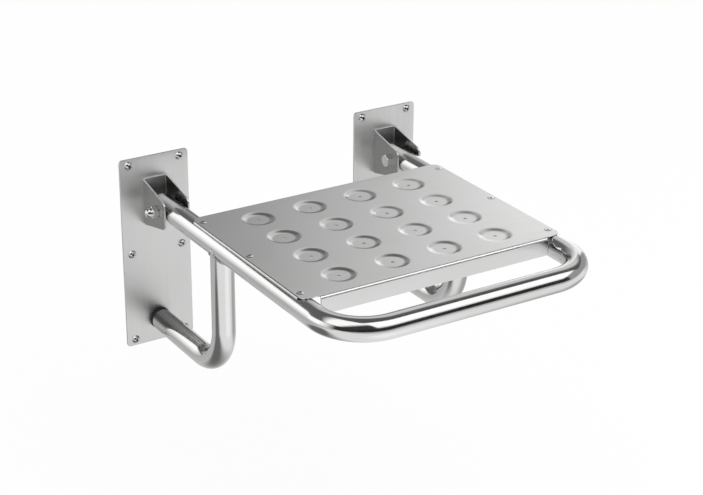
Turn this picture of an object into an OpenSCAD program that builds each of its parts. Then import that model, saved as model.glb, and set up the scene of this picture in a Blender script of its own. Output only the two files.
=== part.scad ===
// Fold down wall seat: a pressed sheet panel on a bent tube frame with two bent legs,
// hinged on two wall plates. The seat folds up about the two bolts in the brackets.
// Origin: on the wall, midway between the two wall plates and halfway up them.
// X runs to the right, -Y points out of the wall into the room and +Z is up.

/* [Seat panel] */
// Distance from the side tubes' axes to the panel's sides
panel_overhang = 10; // [8:0.5:12]
// Depth of the panel from its back edge to the face of its front flange
panel_d = 298; // [280:2:320]
// Thickness of the panel sheet
panel_t = 1.5; // [1:0.1:2]
// Distance from the wall to the panel's back edge
panel_back = 129.5; // [110:0.5:150]
// Height of the panel's top above the middle of the wall plates
seat_top_z = 94; // [80:1:110]
// Radius of the panel's corners
panel_corner_r = 10; // [4:1:14]
// Length of the front flange
flange_w = 347; // [280:1:347]
// Height of the front flange
flange_h = 25; // [15:1:40]
// Outer bend radius of the front flange
flange_bend_r = 4; // [3:0.5:6]
// Outer bend radius of the side lips
lip_bend_r = 2.5; // [2.2:0.1:2.7]

/* [Dimples] */
// Number of dimples across the panel
dimple_cols = 4; // [2:1:4]
// Number of dimples from back to front
dimple_rows = 4; // [2:1:4]
// Dimple pitch across the panel
dimple_pitch_x = 80.4; // [60:0.2:84]
// Dimple pitch from back to front
dimple_pitch_y = 69; // [56:0.5:70]
// Diameter of a dimple's rim
dimple_rim_d = 48; // [40:1:52]
// Diameter of a dimple's flat floor
dimple_floor_d = 28; // [16:1:32]
// Depth of a dimple
dimple_depth = 2.4; // [1:0.2:4]
// Diameter of the drain hole in each dimple
drain_d = 4; // [3:0.5:8]

/* [Panel screws] */
// Distance from the panel's back edge to the rear screws
panel_screw_back = 18.5; // [14:0.5:24]
// Distance from the front flange to the front screws
panel_screw_front = 22.5; // [18:0.5:28]
// Diameter of a panel screw's shank
panel_screw_d = 5; // [4:0.5:6]
// Diameter of a panel screw's countersunk head
panel_screw_head_d = 10; // [8:0.5:11]
// Length of a panel screw under the flush of its head
panel_screw_len = 12; // [8:1:20]

/* [Seat frame and legs] */
// Diameter of the tubes
tube_d = 32; // [28:0.5:36]
// Wall of the tubes
tube_wall = 2; // [1.5:0.1:3]
// Distance between the axes of the two side tubes
frame_w = 380; // [360:2:390]
// Distance from the wall to the axis of the front tube
frame_reach = 509; // [470:1:560]
// Centre line radius of every tube bend
bend_r = 65; // [50:1:80]
// Length of the side tube behind the pivot
tube_tail = 20; // [16:0.5:24]
// Distance from the wall to the axis of the leg
leg_reach = 200.5; // [180:0.5:240]
// Drop from the axis of the side tube to the axis of the leg's arm
leg_drop = 184.5; // [150:0.5:200]
// Size of the weld bead round the top of a leg
weld_size = 2.5; // [1.5:0.1:3.5]

/* [Bumpers] */
// Thickness of the rubber bumper outside the tube
bumper_t = 9; // [5:0.5:14]
// Radius of the bumper's front edge
bumper_edge_r = 2; // [1:0.5:3]
// Length of the bumper's plug in the tube
bumper_plug_len = 20; // [10:1:30]
// Gap between the bumper and the wall plate with the seat down
bumper_gap = 0.2; // [0.1:0.05:0.5]

/* [Wall plates] */
// Width of a wall plate
plate_w = 105; // [96:1:120]
// Height of a wall plate
plate_h = 285; // [270:1:320]
// Thickness of a wall plate
plate_t = 3; // [2:0.5:5]
// Radius of a wall plate's corners
plate_corner_r = 5; // [2:0.5:10]
// Distance from a plate's side edge to its screws
plate_screw_inset_x = 13.5; // [10:0.5:18]
// Distance from a plate's top or bottom edge to its end screws
plate_screw_inset_z = 9; // [8:0.5:20]

/* [Wall screws] */
// Diameter of a wall screw's shank
wall_screw_d = 6; // [4:0.5:7]
// Length of a wall screw under its head
wall_screw_len = 12; // [10:1:60]
// Diameter of a wall screw's head
wall_screw_head_d = 12; // [10:0.5:14]
// Height of a wall screw's head
wall_screw_head_h = 4; // [3:0.5:5]

/* [Hinge brackets] */
// Thickness of the bracket sheet
bracket_t = 2.5; // [2:0.1:3]
// Height of the bracket at the wall plate
bracket_h = 69; // [60:1:80]
// Height of the bracket at its front edge
bracket_front_h = 39; // [34:1:50]
// Distance from the wall plate to the bracket's front edge
bracket_d = 68; // [62:1:76]
// Outer bend radius of the bracket
bracket_bend_r = 5; // [4:0.5:8]
// Radius of the ears' front corners
ear_corner_r = 10; // [4:1:14]

/* [Pivots] */
// Distance from the wall to the pivot's axis
pivot_reach = 45.5; // [42:0.5:50]
// Diameter of the pivot bolt
bolt_d = 10; // [8:1:12]
// Width across the flats of the bolt's head and of the nut
hex_w = 17; // [15:1:19]
// Height of the bolt's head
bolt_head_h = 6.5; // [5:0.5:8]
// Height of the nut's hexagon
nut_hex_h = 8; // [6:0.5:9]
// Height of the nut over its dome
nut_h = 17; // [16:0.5:19]
// Thickness of the washers beside the tube
washer_t = 0.8; // [0.6:0.1:1.5]
// Outer diameter of the washers beside the tube
washer_d = 20; // [18:1:24]
// Radial running clearance of the bolt in the tube
pivot_clear = 0.05; // [0.02:0.01:0.1]

/* [Hidden] */

// Segments of a full circle and steps of a dimple's slope
$fn = 96;
dimple_steps = 10;
// Overrun of every cut past the face that it leaves
cut = 1;

// Tube
tube_r = tube_d / 2;
tube_inner_r = tube_r - tube_wall;
// Gap left by a thing that sits in a hole without touching its wall
fit_clear = 0.1;
side_x = frame_w / 2;
tube_z = seat_top_z - panel_t - tube_r;
arm_z = tube_z - leg_drop;
tube_end_y = -(pivot_reach - tube_tail);

// Panel: its lips end just above the shoulders of the side tubes
panel_w = frame_w + 2 * panel_overhang;
panel_front = panel_back + panel_d;
lip_clear = 0.15;
lip_inner = panel_overhang - panel_t;
lip_h = panel_t + tube_r - sqrt(tube_r * tube_r - lip_inner * lip_inner) - lip_clear;
flat_w = panel_w - 2 * lip_bend_r;
flat_d = panel_d - flange_bend_r;
dimple_mid_y = -(panel_back + panel_d / 2);
dimple_rim_r = dimple_rim_d / 2;
dimple_floor_r = dimple_floor_d / 2;
panel_screw_pitch = (panel_d - panel_screw_back - panel_screw_front) / 2;
panel_screw_ys = [for (i = [0:2]) -(panel_back + panel_screw_back + i * panel_screw_pitch)];
panel_screw_r = panel_screw_d / 2;
panel_screw_head_r = panel_screw_head_d / 2;
panel_screw_cone_h = panel_screw_head_r - panel_screw_r;
panel_screw_dome_h = 0.8;
panel_screw_recess_w = 1.4;
panel_screw_recess_l = 5;
panel_screw_recess_h = 1.8;

// Wall plate
plate_screw_x = plate_w / 2 - plate_screw_inset_x;
plate_screw_z = plate_h / 2 - plate_screw_inset_z;
plate_screw_zs = [-plate_screw_z, 0, plate_screw_z];
plate_screw_places = [for (x = [-plate_screw_x, plate_screw_x]) for (z = plate_screw_zs) [x, z]];
wall_screw_r = wall_screw_d / 2;
wall_screw_neck_more = 0.2;
wall_screw_neck_r = wall_screw_r + wall_screw_neck_more;
wall_screw_head_r = wall_screw_head_d / 2;
wall_screw_tip = 0.8;
wall_screw_hole_clear = 0.3;
wall_screw_recess_w = 1.6;
wall_screw_recess_l = 6.4;
wall_screw_recess_h = 2.2;

// Bracket and pivot
washer_clear = 0.1;
ear_gap = tube_d + 2 * (washer_t + washer_clear);
bracket_w = ear_gap + 2 * bracket_t;
ear_taper = atan((bracket_h - bracket_front_h) / 2 / bracket_d);
bolt_r = bolt_d / 2;
bolt_hole_r = bolt_r + pivot_clear;
hex_r = hex_w / 2 / cos(30);
hex_chamfer = 1;
nut_dome_inset = 0.7;
nut_dome_r = hex_w / 2 - nut_dome_inset;
nut_end_wall = 3.8;
nut_end_space = 1.2;
nut_bore_depth = nut_h - nut_end_wall;
washer_hole_clear = 0.3;

// Weld
weld_reach = tube_r + weld_size;

// A rectangle with round corners, centred on the origin
module rounded_rect(w, h, r) {
    square([w - 2 * r, h], center = true);
    square([w, h - 2 * r], center = true);
    for (x = [-1, 1]) {
        for (y = [-1, 1]) {
            translate([x * (w / 2 - r), y * (h / 2 - r)]) circle(r);
        }
    }
}

// Places a left or right piece: side is -1 on the left and 1 on the right
module at_side(side) {
    if (side < 0) {
        mirror([1, 0, 0]) translate([side_x, 0, 0]) children();
    } else {
        translate([side_x, 0, 0]) children();
    }
}

// A cylinder that points along -Y from y = 0
module rod_y(h, r) {
    rotate([90, 0, 0]) cylinder(h = h, r = r);
}

// A cylinder along X, centred on x = 0
module rod_x(h, r) {
    rotate([0, 90, 0]) cylinder(h = h, r = r, center = true);
}

// A quarter of a bent sheet seen along its bend line: it starts flat at the origin,
// runs along +X and turns down through a right angle to a straight leg
module bend_section(outer_r, t, drop) {
    translate([0, -outer_r]) {
        intersection() {
            difference() {
                circle(outer_r);
                circle(outer_r - t);
            }
            square(outer_r);
        }
    }
    translate([outer_r - t, -drop]) square([t, drop - outer_r]);
}

// A cross recess cut down from z = 0
module cross_recess(w, l, h) {
    for (a = [0, 90]) {
        rotate([0, 0, a]) translate([-l / 2, -w / 2, -h]) cube([l, w, h + cut]);
    }
}

// Height of the pressed surface of a dimple below the sheet, from its floor to its rim
function dimple_z(r) =
    -dimple_depth * (1 + cos(180 * (r - dimple_floor_r) / (dimple_rim_r - dimple_floor_r))) / 2;

function dimple_slope_points(drop) =
    [for (i = [0:dimple_steps])
        let (r = dimple_floor_r + (dimple_rim_r - dimple_floor_r) * i / dimple_steps)
        [r, dimple_z(r) - drop]];

// The space pressed out above a dimple, or its outside when drop is the sheet's thickness
module dimple_form(drop, top) {
    rotate_extrude() {
        polygon(concat(
            [[0, top], [0, -dimple_depth - drop]],
            dimple_slope_points(drop),
            [[dimple_rim_r, top]]
        ));
    }
}

module at_dimples() {
    for (i = [0:dimple_cols - 1]) {
        for (j = [0:dimple_rows - 1]) {
            translate([
                (i - (dimple_cols - 1) / 2) * dimple_pitch_x,
                dimple_mid_y + (j - (dimple_rows - 1) / 2) * dimple_pitch_y,
                seat_top_z
            ]) children();
        }
    }
}

// Cone of a countersunk head, its flush at z = 0, with a clearance all round
module screw_cone(clear) {
    translate([0, 0, -panel_screw_cone_h])
        cylinder(h = panel_screw_cone_h, r1 = panel_screw_r + clear, r2 = panel_screw_head_r + clear);
}

// What a panel screw needs cut away for it
module panel_screw_hole() {
    screw_cone(fit_clear);
    translate([0, 0, -panel_screw_len - cut])
        cylinder(h = panel_screw_len + cut, r = panel_screw_r + fit_clear);
    cylinder(h = cut, r = panel_screw_head_r + fit_clear);
}

module seat_panel() {
    color("silver") difference() {
        union() {
            translate([0, -(panel_back + flat_d / 2), seat_top_z - panel_t])
                linear_extrude(panel_t) rounded_rect(flat_w, flat_d, panel_corner_r);
            for (s = [0, 1]) {
                mirror([s, 0, 0])
                    translate([flat_w / 2, -(panel_back + panel_corner_r), seat_top_z])
                        rotate([90, 0, 0])
                            linear_extrude(flat_d - 2 * panel_corner_r)
                                bend_section(lip_bend_r, panel_t, lip_h);
            }
            translate([flange_w / 2, -(panel_front - flange_bend_r), seat_top_z])
                rotate([90, 0, -90])
                    linear_extrude(flange_w) bend_section(flange_bend_r, panel_t, flange_h);
            at_dimples() dimple_form(panel_t, -panel_t / 2);
        }
        at_dimples() {
            dimple_form(0, cut);
            translate([0, 0, -dimple_depth - panel_t - cut])
                cylinder(h = dimple_depth + panel_t + 2 * cut, r = drain_d / 2);
        }
        for (x = [-side_x, side_x]) {
            for (y = panel_screw_ys) translate([x, y, seat_top_z]) panel_screw_hole();
        }
    }
}

module panel_screw() {
    difference() {
        union() {
            screw_cone(0);
            translate([0, 0, -panel_screw_len]) cylinder(h = panel_screw_len, r = panel_screw_r);
            cylinder(h = panel_screw_dome_h, r1 = panel_screw_head_r, r2 = panel_screw_head_r / 2);
        }
        translate([0, 0, panel_screw_dome_h])
            cross_recess(panel_screw_recess_w, panel_screw_recess_l, panel_screw_recess_h);
    }
}

module panel_screws(side) {
    color("gainsboro") at_side(side) {
        for (y = panel_screw_ys) translate([0, y, seat_top_z]) panel_screw();
    }
}

// The line of the U shaped frame, as a solid bar of radius r, its ends lengthened by extra
module frame_bar(r, extra) {
    straight = frame_reach - bend_r + tube_end_y;
    for (s = [-1, 1]) {
        at_side(s) translate([0, 0, tube_z]) {
            translate([0, tube_end_y + extra, 0]) rod_y(straight + extra, r);
            translate([-bend_r, -(frame_reach - bend_r), 0])
                rotate([0, 0, -90]) rotate_extrude(angle = 90) translate([bend_r, 0]) circle(r);
        }
    }
    translate([0, -frame_reach, tube_z]) rod_x(frame_w - 2 * bend_r, r);
}

module seat_frame() {
    color("lightgray") difference() {
        frame_bar(tube_r, 0);
        frame_bar(tube_inner_r, cut);
        for (s = [-1, 1]) {
            at_side(s) {
                translate([0, -pivot_reach, tube_z]) rod_x(tube_d + 2 * cut, bolt_hole_r);
                for (y = panel_screw_ys) translate([0, y, seat_top_z]) panel_screw_hole();
            }
        }
    }
}

// The line of a leg and its arm, as a solid bar of radius r, the arm lengthened by extra
module leg_bar(r, extra) {
    arm_end_y = -(plate_t + bumper_gap + bumper_t);
    translate([0, -leg_reach, arm_z + bend_r]) cylinder(h = leg_drop - bend_r, r = r);
    translate([0, -(leg_reach - bend_r), arm_z + bend_r])
        rotate([0, 90, 0]) rotate_extrude(angle = -90) translate([bend_r, 0]) circle(r);
    translate([0, arm_end_y + extra, arm_z]) rod_y(leg_reach - bend_r + arm_end_y + extra, r);
}

module leg(side) {
    color("lightgray") at_side(side) difference() {
        leg_bar(tube_r, 0);
        leg_bar(tube_inner_r, cut);
        translate([0, -leg_reach + tube_d, tube_z]) rod_y(2 * tube_d, tube_r);
    }
}

// The bead fills the corner between the leg and the side tube, all round the leg
module leg_weld(side) {
    color("darkgray") at_side(side) difference() {
        intersection() {
            translate([0, -leg_reach + weld_reach, tube_z]) rod_y(2 * weld_reach, weld_reach);
            translate([0, -leg_reach, tube_z - weld_reach]) cylinder(h = weld_reach, r = weld_reach);
        }
        translate([0, -leg_reach + tube_d, tube_z]) rod_y(2 * tube_d, tube_r);
        translate([0, -leg_reach, tube_z - tube_d]) cylinder(h = 2 * tube_d, r = tube_r);
    }
}

module bumper(side) {
    color("black") at_side(side) translate([0, -(plate_t + bumper_gap + bumper_t), arm_z])
        rotate([-90, 0, 0]) rotate_extrude() {
            square([tube_r, bumper_t - bumper_edge_r]);
            square([tube_r - bumper_edge_r, bumper_t]);
            translate([tube_r - bumper_edge_r, bumper_t - bumper_edge_r]) circle(bumper_edge_r);
            translate([0, -bumper_plug_len]) square([tube_inner_r - fit_clear, bumper_plug_len]);
        }
}

module wall_plate(side) {
    color("lightgray") at_side(side) rotate([90, 0, 0]) linear_extrude(plate_t) difference() {
        rounded_rect(plate_w, plate_h, plate_corner_r);
        for (p = plate_screw_places) translate(p) circle(wall_screw_r + wall_screw_hole_clear);
    }
}

// A pan head screw, its head's seat at z = 0 and its chamfered end down
// A wall screw's neck fills the plate, and its thinner shank goes on behind
module wall_screw() {
    shank = wall_screw_len - wall_screw_tip;
    dome_r = (wall_screw_head_r * wall_screw_head_r + wall_screw_head_h * wall_screw_head_h)
        / (2 * wall_screw_head_h);
    difference() {
        union() {
            intersection() {
                cylinder(h = wall_screw_head_h, r = wall_screw_head_r);
                translate([0, 0, wall_screw_head_h - dome_r]) sphere(dome_r);
            }
            translate([0, 0, -plate_t]) cylinder(h = plate_t, r = wall_screw_neck_r);
            translate([0, 0, -shank]) cylinder(h = shank, r = wall_screw_r);
            translate([0, 0, -wall_screw_len])
                cylinder(h = wall_screw_tip, r1 = wall_screw_r - wall_screw_tip, r2 = wall_screw_r);
        }
        translate([0, 0, wall_screw_head_h])
            cross_recess(wall_screw_recess_w, wall_screw_recess_l, wall_screw_recess_h);
    }
}

module wall_screws(side) {
    color("gainsboro") at_side(side) {
        for (p = plate_screw_places) translate([p[0], -plate_t, p[1]]) rotate([90, 0, 0]) wall_screw();
    }
}

// The bracket seen from above: a web against the wall plate and two ears
module bracket_plan(w, r, back) {
    translate([-w / 2, -bracket_d - cut]) square([w, bracket_d + cut - back - r]);
    translate([-w / 2 + r, -back - r]) square([w - 2 * r, r]);
    for (x = [-1, 1]) translate([x * (w / 2 - r), -back - r]) circle(r);
}

// The side view of an ear: it tapers forwards and has round front corners
module ear_outline() {
    corner_y = bracket_d - ear_corner_r;
    corner_z = bracket_front_h / 2 + ear_corner_r * (tan(ear_taper) - 1 / cos(ear_taper));
    touch_y = corner_y + ear_corner_r * sin(ear_taper);
    touch_z = corner_z + ear_corner_r * cos(ear_taper);
    polygon([
        [0, -bracket_h / 2], [touch_y, -touch_z], [corner_y, -corner_z], [bracket_d, -corner_z],
        [bracket_d, corner_z], [corner_y, corner_z], [touch_y, touch_z], [0, bracket_h / 2]
    ]);
    for (z = [-corner_z, corner_z]) translate([corner_y, z]) circle(ear_corner_r);
}

module hinge_bracket(side) {
    color("silver") at_side(side) translate([0, -plate_t, tube_z]) difference() {
        intersection() {
            translate([0, 0, -bracket_h / 2]) linear_extrude(bracket_h) difference() {
                bracket_plan(bracket_w, bracket_bend_r, 0);
                bracket_plan(ear_gap, bracket_bend_r - bracket_t, bracket_t);
            }
            rotate([0, 0, -90]) rotate([90, 0, 0])
                translate([0, 0, -bracket_w / 2 - cut]) linear_extrude(bracket_w + 2 * cut) ear_outline();
        }
        translate([0, plate_t - pivot_reach, 0]) rod_x(bracket_w + 2 * cut, bolt_hole_r);
    }
}

// Places what sits on the pivot, with local z along the axis towards the plate's outer edge
module on_pivot(side) {
    at_side(side) translate([0, -pivot_reach, tube_z]) rotate([0, 90, 0]) children();
}

// A hexagon with its corners chamfered at the top, its base at z = 0
module hex_block(h) {
    intersection() {
        cylinder(h = h, r = hex_r, $fn = 6);
        union() {
            cylinder(h = h - hex_chamfer, r = hex_r);
            translate([0, 0, h - hex_chamfer])
                cylinder(h = hex_chamfer, r1 = hex_r, r2 = hex_r - 2 * hex_chamfer);
        }
    }
}

module pivot_bolt(side) {
    color("gainsboro") on_pivot(side) translate([0, 0, -bracket_w / 2]) {
        mirror([0, 0, 1]) hex_block(bolt_head_h);
        cylinder(h = bracket_w + nut_bore_depth - nut_end_space, r = bolt_r);
    }
}

module pivot_nut(side) {
    color("gainsboro") on_pivot(side) translate([0, 0, bracket_w / 2]) difference() {
        union() {
            hex_block(nut_hex_h);
            cylinder(h = nut_h - nut_dome_r, r = nut_dome_r);
            translate([0, 0, nut_h - nut_dome_r]) sphere(nut_dome_r);
        }
        translate([0, 0, -nut_dome_r]) cylinder(h = nut_dome_r, r = 2 * nut_dome_r);
        cylinder(h = nut_bore_depth, r = bolt_hole_r);
    }
}

module pivot_washers(side) {
    color("dimgray") on_pivot(side) {
        for (s = [0, 1]) {
            mirror([0, 0, s]) translate([0, 0, ear_gap / 2 - washer_t]) difference() {
                cylinder(h = washer_t, r = washer_d / 2);
                translate([0, 0, -cut]) cylinder(h = washer_t + 2 * cut, r = bolt_r + washer_hole_clear);
            }
        }
    }
}

seat_panel();
panel_screws(-1);  // panel_screws_left
panel_screws(1);  // panel_screws_right
seat_frame();
leg(-1);  // leg_left
leg(1);  // leg_right
leg_weld(-1);  // leg_weld_left
leg_weld(1);  // leg_weld_right
bumper(-1);  // bumper_left
bumper(1);  // bumper_right
wall_plate(-1);  // wall_plate_left
wall_plate(1);  // wall_plate_right
wall_screws(-1);  // wall_screws_left
wall_screws(1);  // wall_screws_right
hinge_bracket(-1);  // hinge_bracket_left
hinge_bracket(1);  // hinge_bracket_right
pivot_bolt(-1);  // pivot_bolt_left
pivot_bolt(1);  // pivot_bolt_right
pivot_nut(-1);  // pivot_nut_left
pivot_nut(1);  // pivot_nut_right
pivot_washers(-1);  // pivot_washers_left
pivot_washers(1);  // pivot_washers_right
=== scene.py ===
# %% [markdown]
# # Fold down wall seat
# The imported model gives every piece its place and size, in metres: X to the right, -Y
# out of the wall, +Z up. The origin lies on the wall, midway between the two plates.
# Each piece is modelled again over its solid, with the rounded edges, recesses and
# finishes that make it look like pressed and polished stainless steel.

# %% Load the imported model
import math

import bmesh
import bpy
from mathutils import Matrix, Vector


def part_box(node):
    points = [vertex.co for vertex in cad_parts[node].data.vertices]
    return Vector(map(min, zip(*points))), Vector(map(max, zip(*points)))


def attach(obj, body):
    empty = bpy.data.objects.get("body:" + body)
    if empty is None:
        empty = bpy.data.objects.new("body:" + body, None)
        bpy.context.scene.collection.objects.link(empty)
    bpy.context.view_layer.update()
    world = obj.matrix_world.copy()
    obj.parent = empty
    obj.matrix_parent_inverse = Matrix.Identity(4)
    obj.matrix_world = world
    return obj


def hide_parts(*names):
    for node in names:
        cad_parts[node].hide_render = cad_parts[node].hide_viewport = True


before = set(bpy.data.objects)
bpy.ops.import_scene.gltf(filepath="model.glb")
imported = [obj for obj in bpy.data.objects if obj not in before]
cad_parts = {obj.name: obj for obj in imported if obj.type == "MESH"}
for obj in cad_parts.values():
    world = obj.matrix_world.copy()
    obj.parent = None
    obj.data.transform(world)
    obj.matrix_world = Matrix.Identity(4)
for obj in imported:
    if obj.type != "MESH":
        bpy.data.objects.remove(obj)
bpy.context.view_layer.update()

MM = 0.001
WHITE = (1, 1, 1, 1)
SEAT = "seat"
WALL = "wall_side"

# %% [markdown]
# ## The camera
# The photograph looks down on the seat from the front left. A long lens keeps the
# perspective gentle. The camera's three axes are worked out from the direction it looks
# in, and a third of a degree of roll levels it with the photograph.

# %% Camera
camera_turn = math.radians(-31.90)
camera_height = math.radians(23.97)
camera_roll = math.radians(0.36)
camera_place = Vector((-1.2213, -2.1802, 1.0678))
photo_width = 703
focal_pixels = 1850.77

backward = Vector((
    math.sin(camera_turn) * math.cos(camera_height),
    -math.cos(camera_turn) * math.cos(camera_height),
    math.sin(camera_height),
))
level = Vector((math.cos(camera_turn), math.sin(camera_turn), 0))
rightward = level * math.cos(camera_roll) + backward.cross(level) * math.sin(camera_roll)
upward = backward.cross(rightward)

bpy.ops.object.select_all(action="DESELECT")
bpy.ops.object.camera_add(location=camera_place)
camera = bpy.context.object
camera.matrix_world = Matrix.Translation(camera_place) @ Matrix(
    (rightward, upward, backward)).transposed().to_4x4()
camera.data.sensor_fit = "HORIZONTAL"
camera.data.sensor_width = 36
camera.data.lens = focal_pixels / photo_width * camera.data.sensor_width
bpy.context.scene.camera = camera
bpy.context.scene.view_settings.view_transform = "Standard"
print("lens", round(camera.data.lens, 1), "mm")

# %% [markdown]
# ## Selecting and shaping by code
# An operator works on whatever is selected, so each step first clears the selection and
# then picks vertices, edges or faces by where they lie. One helper opens a piece for
# shaping, one picks, and one pulls out a new edge or face.

# %% Helpers that select
def clear():
    bpy.ops.object.select_all(action="DESELECT")


def only(obj):
    clear()
    obj.select_set(True)
    bpy.context.view_layer.objects.active = obj


def begin(obj, mode):
    only(obj)
    bpy.ops.object.mode_set(mode="EDIT")
    bpy.ops.mesh.select_mode(type=mode)
    bpy.ops.mesh.select_all(action="DESELECT")


def leave():
    bpy.ops.object.mode_set(mode="OBJECT")


def pick_all():
    bpy.ops.mesh.select_all(action="SELECT")


def flip(obj):
    """Turns every face of a piece round."""
    begin(obj, "FACE")
    pick_all()
    bpy.ops.mesh.flip_normals()
    leave()


def pick(obj, kind, test):
    """Selects each vertex, edge or face whose corners all pass the test."""
    bpy.ops.mesh.select_mode(type=kind)
    bpy.ops.mesh.select_all(action="DESELECT")
    mesh = bmesh.from_edit_mesh(obj.data)
    parts = {"VERT": mesh.verts, "EDGE": mesh.edges, "FACE": mesh.faces}[kind]
    count = 0
    for part in parts:
        corners = [part] if kind == "VERT" else part.verts
        if all(test(corner.co) for corner in corners):
            part.select_set(True)
            count += 1
    mesh.select_flush_mode()
    bmesh.update_edit_mesh(obj.data)
    return count


def corners_of(node):
    """The low and the high corner of a solid's box."""
    return [Vector(corner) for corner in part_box(node)]


def near(a, b):
    return abs(a - b) < 0.02 * MM


def pull(x, y, z):
    bpy.ops.mesh.extrude_region_move(TRANSFORM_OT_translate={"value": (x, y, z)})


def bend(centre, axis, steps):
    """Spins the selected edges through a right angle, by the right hand rule."""
    bpy.ops.mesh.spin(steps=steps, angle=-math.radians(90), center=centre, axis=axis)


# %% Helpers that finish
def apply_place(obj):
    only(obj)
    bpy.ops.object.transform_apply(location=True, rotation=True, scale=True)


def copy_of(obj, x=0.0, y=0.0, z=0.0):
    only(obj)
    bpy.ops.object.duplicate(linked=False)
    twin = bpy.context.object
    twin.location = (x, y, z)
    apply_place(twin)
    return twin


def join(pieces):
    only(pieces[0])
    for piece in pieces[1:]:
        piece.select_set(True)
    bpy.ops.object.join()
    return bpy.context.object


def finish_with(obj, kind, **settings):
    only(obj)
    modifier = obj.modifiers.new(kind.lower(), kind)
    for key, value in settings.items():
        setattr(modifier, key, value)
    bpy.ops.object.modifier_apply(modifier=modifier.name)


def smooth(obj, angle):
    """Shades a piece smooth, apart from the edges sharper than the angle."""
    only(obj)
    bpy.ops.object.shade_smooth_by_angle(angle=math.radians(angle))


def carve(obj, tool, operation="DIFFERENCE"):
    finish_with(obj, "BOOLEAN", object=tool, operation=operation, solver="EXACT")
    bpy.data.objects.remove(tool)


def soften(obj, width, angle=35, segments=2):
    """Rounds every edge sharper than the angle, and keeps flat faces flat in the light."""
    finish_with(obj, "BEVEL", width=width, segments=segments, limit_method="ANGLE",
                angle_limit=math.radians(angle), use_clamp_overlap=True)
    smooth(obj, 50)
    finish_with(obj, "WEIGHTED_NORMAL", weight=50, keep_sharp=True)


def face_out(obj):
    begin(obj, "FACE")
    pick_all()
    bpy.ops.mesh.remove_doubles(threshold=0.01 * MM)
    bpy.ops.mesh.normals_make_consistent(inside=False)
    leave()


def settle(obj, name, body, material, node):
    """Names a finished piece, puts it under its body, hides the solid it stands for and
    prints how far its box lies from that solid's. It gets the material, unless its faces
    have theirs already."""
    obj.name = name
    obj.data.name = name
    if not any(obj.data.materials):
        obj.data.materials.clear()
        obj.data.materials.append(material)
    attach(obj, body)
    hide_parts(node)
    low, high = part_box(node)
    off = 0
    for axis in range(3):
        places = [vertex.co[axis] for vertex in obj.data.vertices]
        off = max(off, abs(min(places) - low[axis]), abs(max(places) - high[axis]))
    print(name, "faces", len(obj.data.polygons), "box off by", round(off / MM, 2), "mm")


def settle_pair(pair, name, body, slot, material, node):
    """Settles a left piece and its twin on the right."""
    for piece, side in zip(pair, ("_left", "_right")):
        settle(piece, name + side, body, material, node + side)


def refinish(obj, material, test):
    """Gives another material to each face that passes the test, and counts them."""
    if material not in list(obj.data.materials):
        obj.data.materials.append(material)
    slot = list(obj.data.materials).index(material)
    faces = [face for face in obj.data.polygons if test(face)]
    for face in faces:
        face.material_index = slot
    return len(faces)


# %% [markdown]
# ## Steel and rubber
# Stainless steel is grey and shows the studio round it. What tells one piece from
# another is how its surface was worked. The sheet is satin, the tubes are polished, and
# the plates are brushed upright, so they smear what they mirror to the sides. The
# roughness and a very fine bump follow noise that is stretched along the grain. A broad,
# faint noise in the grey and the roughness stands for handling. The underside and the
# recesses are rougher than the rest, and their darker grey is painted shade, as is the
# darker grey of the drain holes and of the brackets' ears. The paler grey of the cut
# edges and of the front bend is a painted highlight.

# %% Material helpers
def new_material(name):
    material = bpy.data.materials.new(name)
    material.use_nodes = True
    return material, material.node_tree, material.node_tree.nodes["Principled BSDF"]


def add_node(tree, kind, **values):
    node = tree.nodes.new(kind)
    for key, value in values.items():
        if key in node.inputs:
            node.inputs[key].default_value = value
        else:
            setattr(node, key, value)
    return node


def noise_on(tree, stretch, size, detail):
    """Noise in the piece's own metres. size is the length of a fleck, stretch makes it
    longer along each axis, and detail is how many finer noises lie in it."""
    place = add_node(tree, "ShaderNodeTexCoord")
    mapping = add_node(tree, "ShaderNodeMapping")
    mapping.inputs["Scale"].default_value = [1 / part for part in stretch]
    noise = add_node(tree, "ShaderNodeTexNoise", Scale=1 / size, Detail=detail)
    tree.links.new(place.outputs["Object"], mapping.inputs["Vector"])
    tree.links.new(mapping.outputs["Vector"], noise.inputs["Vector"])
    return noise.outputs["Fac"]


def graded(tree, value, start, end, low, high, kind="LINEAR"):
    """Carries a value from the range start to end over to the range low to high."""
    reach = add_node(tree, "ShaderNodeMapRange", interpolation_type=kind)
    limits = {"From Min": start, "From Max": end, "To Min": low, "To Max": high}
    for name, limit in limits.items():
        reach.inputs[name].default_value = limit
    tree.links.new(value, reach.inputs["Value"])
    return reach.outputs["Result"]


def spread(tree, noise, low, high):
    """Turns noise, which keeps near its middle, into a value from low to high."""
    return graded(tree, noise, 0.3, 0.7, low, high)


def mixed(tree, a, b, kind="ADD"):
    maths = add_node(tree, "ShaderNodeMath", operation=kind)
    tree.links.new(a, maths.inputs[0])
    tree.links.new(b, maths.inputs[1])
    return maths.outputs["Value"]


def grey_of(tree, value, low, high):
    """A grey between two greys, a touch warmer where it is darker."""
    mix = add_node(tree, "ShaderNodeMix", data_type="RGBA")
    mix.inputs["A"].default_value = (low, low * 0.995, low * 0.985, 1)
    mix.inputs["B"].default_value = (high, high, high, 1)
    tree.links.new(value, mix.inputs["Factor"])
    return mix.outputs["Result"]


# %% Worked steel
EVEN = (1, 1, 1)
sheet_grain = (8, 1, 1)
tube_grain = (1, 12, 12)
plate_grain = (1, 1, 60)
bracket_grain = (1, 25, 1)
handling_size = 60 * MM


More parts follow.
